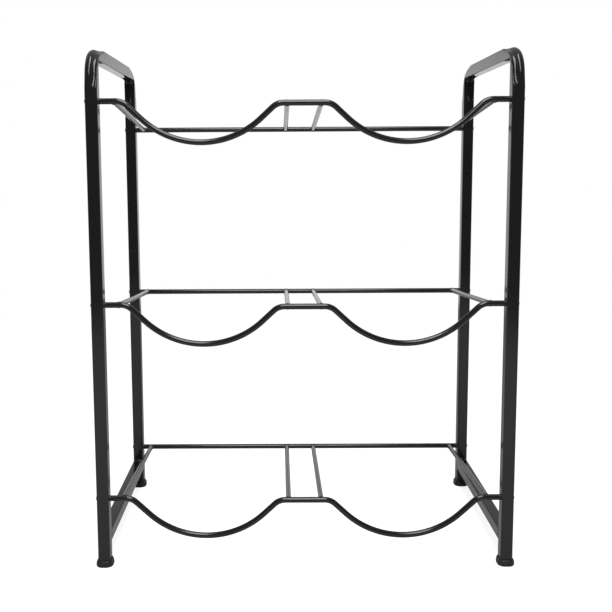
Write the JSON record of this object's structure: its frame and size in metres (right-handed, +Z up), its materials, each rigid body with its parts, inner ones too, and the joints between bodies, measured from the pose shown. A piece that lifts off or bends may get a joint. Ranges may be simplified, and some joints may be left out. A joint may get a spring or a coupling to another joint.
{
  "type": "bottle rack",
  "caption": "Free-standing tiered bottle rack: arched square-tube side frames joined by bolted wire tiers, each with side-by-side round cradles for bottles lying down.",
  "frame": {"origin": "on the floor, at the middle of the rack's footprint", "axes": "+Z up; -Y towards the front, where the rods dip into cradles and the bottles go in; +X towards the rack's right as seen from the front; the left and right halves mirror each other"},
  "size_m": [0.656, 0.346, 0.8],
  "materials": {
    "frame_coating": "semi-gloss black powder coat",
    "rod_coating": "semi-gloss black powder coat",
    "foot_plastic": "satin black moulded plastic",
    "bolt_finish": "black oxide, lightly oiled"
  },
  "bodies": {
    "root": {"left_side_tube": "frame_coating", "right_side_tube": "frame_coating", "left_lower_crossbar": "frame_coating", "right_lower_crossbar": "frame_coating", "front_left_foot": "foot_plastic", "front_right_foot": "foot_plastic", "rear_left_foot": "foot_plastic", "rear_right_foot": "foot_plastic", "top_front_rod": "rod_coating", "top_rear_rod": "rod_coating", "top_left_rail": "rod_coating", "top_centre_left_rail": "rod_coating", "top_centre_right_rail": "rod_coating", "top_right_rail": "rod_coating", "top_bolts": "bolt_finish", "middle_front_rod": "rod_coating", "middle_rear_rod": "rod_coating", "middle_left_rail": "rod_coating", "middle_centre_left_rail": "rod_coating", "middle_centre_right_rail": "rod_coating", "middle_right_rail": "rod_coating", "middle_bolts": "bolt_finish", "bottom_front_rod": "rod_coating", "bottom_rear_rod": "rod_coating", "bottom_left_rail": "rod_coating", "bottom_centre_left_rail": "rod_coating", "bottom_centre_right_rail": "rod_coating", "bottom_right_rail": "rod_coating", "bottom_bolts": "bolt_finish"}
  },
  "joints": []
}
